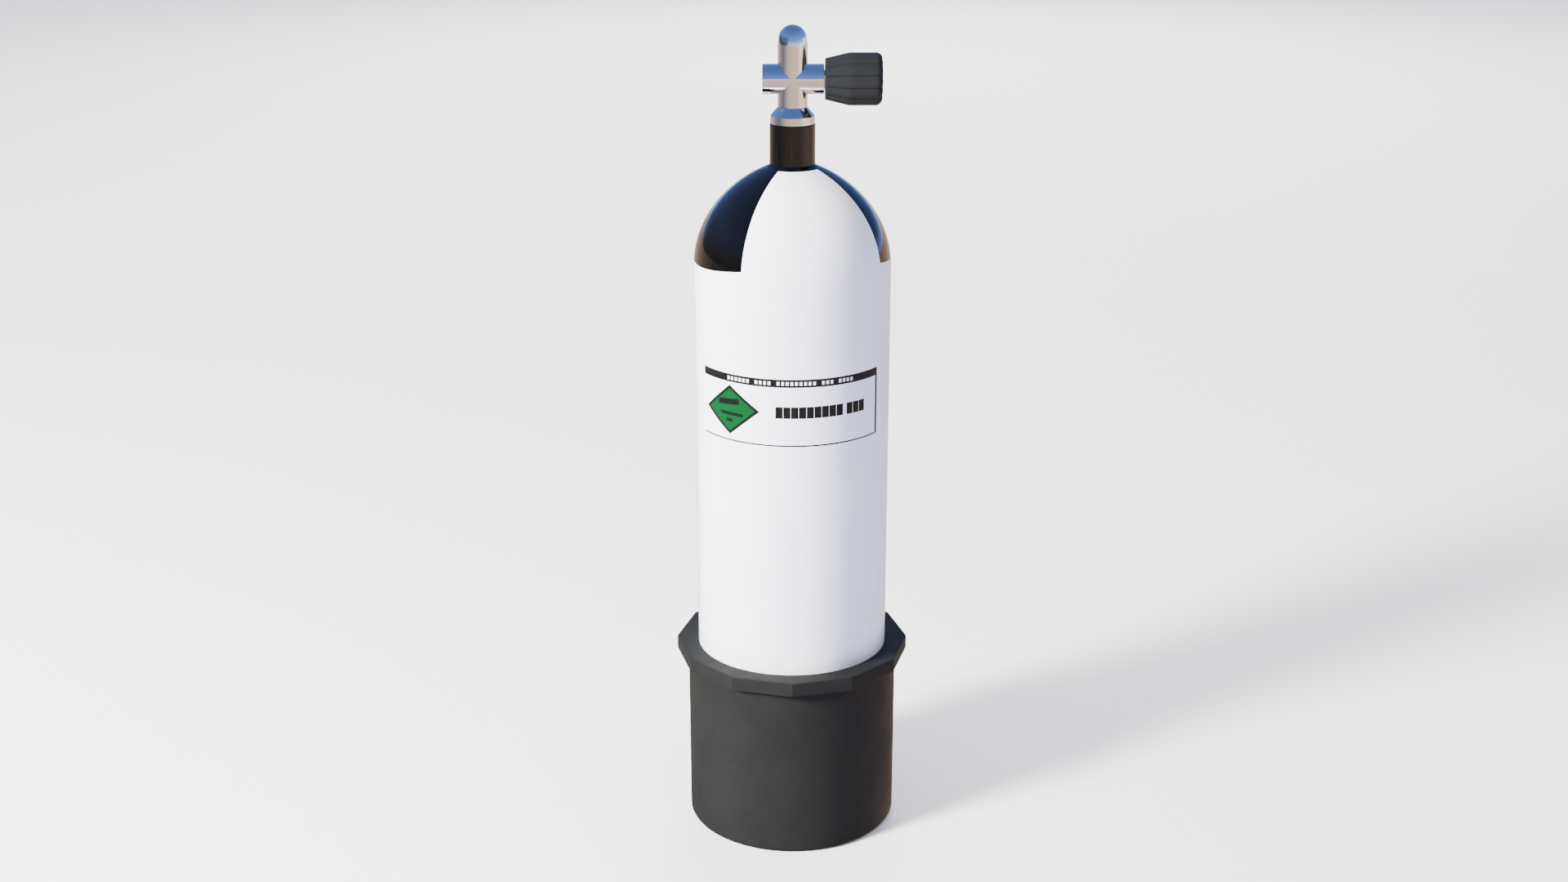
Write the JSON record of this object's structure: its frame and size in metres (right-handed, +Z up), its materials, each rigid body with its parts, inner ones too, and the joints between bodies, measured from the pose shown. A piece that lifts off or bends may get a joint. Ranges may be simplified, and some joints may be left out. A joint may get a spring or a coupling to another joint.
{
  "type": "scuba tank",
  "caption": "Steel diving cylinder in a rubber boot, with a chromed pillar valve, side handwheel and rear threaded regulator outlet.",
  "frame": {"origin": "centre of the boot's foot, on the cylinder's axis", "axes": "+Z up the cylinder, +X out along the handwheel, +Y out of the regulator outlet"},
  "size_m": [0.2108, 0.2108, 0.7282],
  "materials": {
    "paint": "gloss white, with gloss black neck and shoulder quarters",
    "label": "white vinyl with a black bar, a green diamond and plain strips",
    "boot_rubber": "matte dark grey",
    "chrome": "polished chrome plate on brass",
    "brass": "machined",
    "steel": "bright stainless",
    "seal_rubber": "smooth black",
    "seat_polymer": "off-white nylon",
    "grip_rubber": "matte charcoal",
    "core_plastic": "black glass-filled plastic"
  },
  "bodies": {
    "tank": {"cylinder_shell": "paint", "cylinder_label": "label", "boot": "boot_rubber", "valve_body": "chrome", "neck_o_ring": "seal_rubber", "dip_tube": "brass", "bonnet_nut": "chrome", "bonnet_o_ring": "seal_rubber", "spindle_o_ring": "seal_rubber", "thrust_washer": "seat_polymer", "port_plug": "chrome", "port_plug_o_ring": "seal_rubber"},
    "handwheel": {"upper_spindle": "brass", "handwheel_grip": "grip_rubber", "handwheel_core": "core_plastic", "handwheel_spring": "steel", "handwheel_washer": "steel", "handwheel_nut": "steel"},
    "valve_seat": {"seat_carrier": "brass", "seat_disc": "seat_polymer"}
  },
  "joints": [
    {"name": "handwheel_turn", "type": "hinge", "parent": "tank", "child": "handwheel", "pos_m": [0, 0, 0.683], "axis": [1, 0, 0], "range_deg": [0, 900]},
    {"name": "seat_travel", "type": "slide", "parent": "handwheel", "child": "valve_seat", "axis": [1, 0, 0], "range_m": [0, 0.00375]}
  ],
  "couplings": [
    {"joint": "seat_travel", "follows": "handwheel_turn", "m_per_rad": 0.00023873}
  ]
}
